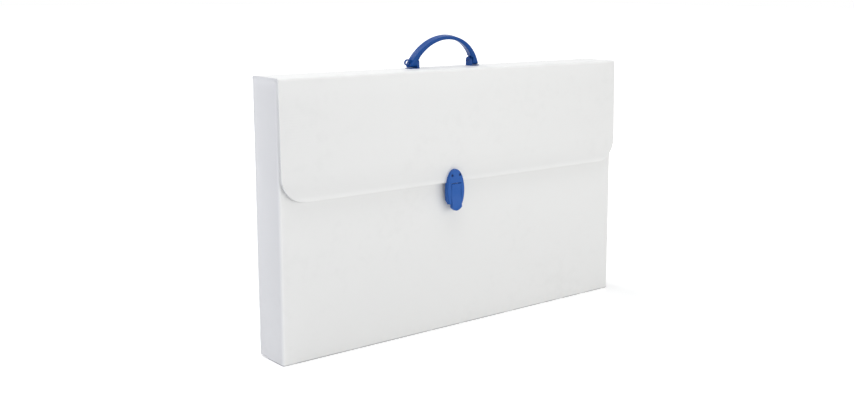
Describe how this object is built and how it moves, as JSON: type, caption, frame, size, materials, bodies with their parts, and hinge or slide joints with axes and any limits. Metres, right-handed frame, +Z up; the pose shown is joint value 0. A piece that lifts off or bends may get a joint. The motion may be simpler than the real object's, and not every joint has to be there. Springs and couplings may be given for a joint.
{
  "type": "document carry case",
  "caption": "Flat carry case folded from white twin-wall plastic board, with a wide lid flap, a blue folding handle on top and a blue oval snap lock on the front.",
  "frame": {"origin": "centre of the bottom panel's underside, which the case stands on", "axes": "+Z up, +X along the case's width to the right as seen from the front, front and flap facing -Y"},
  "size_m": [0.52, 0.0655, 0.3597],
  "materials": {
    "case_board": "white polypropylene twin-wall board, soft satin with fine lengthwise flutes",
    "blue_plastic": "moulded blue plastic, semi-gloss",
    "backing_plastic": "plain moulded plastic, matt",
    "dark_pins": "dark blue plastic rivets and pins, satin"
  },
  "bodies": {
    "case_body": {"bottom_panel": "case_board", "front_panel": "case_board", "back_panel": "case_board", "left_side": "case_board", "right_side": "case_board", "left_rear_wing": "case_board", "right_rear_wing": "case_board", "left_base_wing": "case_board", "right_base_wing": "case_board", "keeper_plate": "blue_plastic", "keeper_backing": "backing_plastic"},
    "lid": {"top_panel": "case_board", "left_bracket": "blue_plastic", "right_bracket": "blue_plastic", "pivot_pins": "dark_pins", "handle_backing": "backing_plastic"},
    "carry_handle": {"handle": "blue_plastic"},
    "front_flap": {"flap": "case_board", "lock_frame": "blue_plastic", "lock_rivets": "dark_pins", "lock_backing": "backing_plastic", "lever_pin": "dark_pins"},
    "lever": {"lock_lever": "blue_plastic"}
  },
  "joints": [
    {"name": "lid_swing", "type": "hinge", "parent": "case_body", "child": "lid", "pos_m": [0, 0.026, 0.32], "axis": [-1, 0, 0], "range_deg": [0, 180]},
    {"name": "flap_fold", "type": "hinge", "parent": "lid", "child": "front_flap", "pos_m": [0, -0.0296, 0.32], "axis": [-1, 0, 0], "range_deg": [0, 180]},
    {"name": "handle_swing", "type": "hinge", "parent": "lid", "child": "carry_handle", "pos_m": [-0.0078, 0.008, 0.32675], "axis": [1, 0, 0], "range_deg": [-11.5, 78.5]},
    {"name": "lever_swing", "type": "hinge", "parent": "front_flap", "child": "lever", "pos_m": [-0.023, -0.03573, 0.1801], "axis": [-1, 0, 0], "range_deg": [0, 90]}
  ]
}
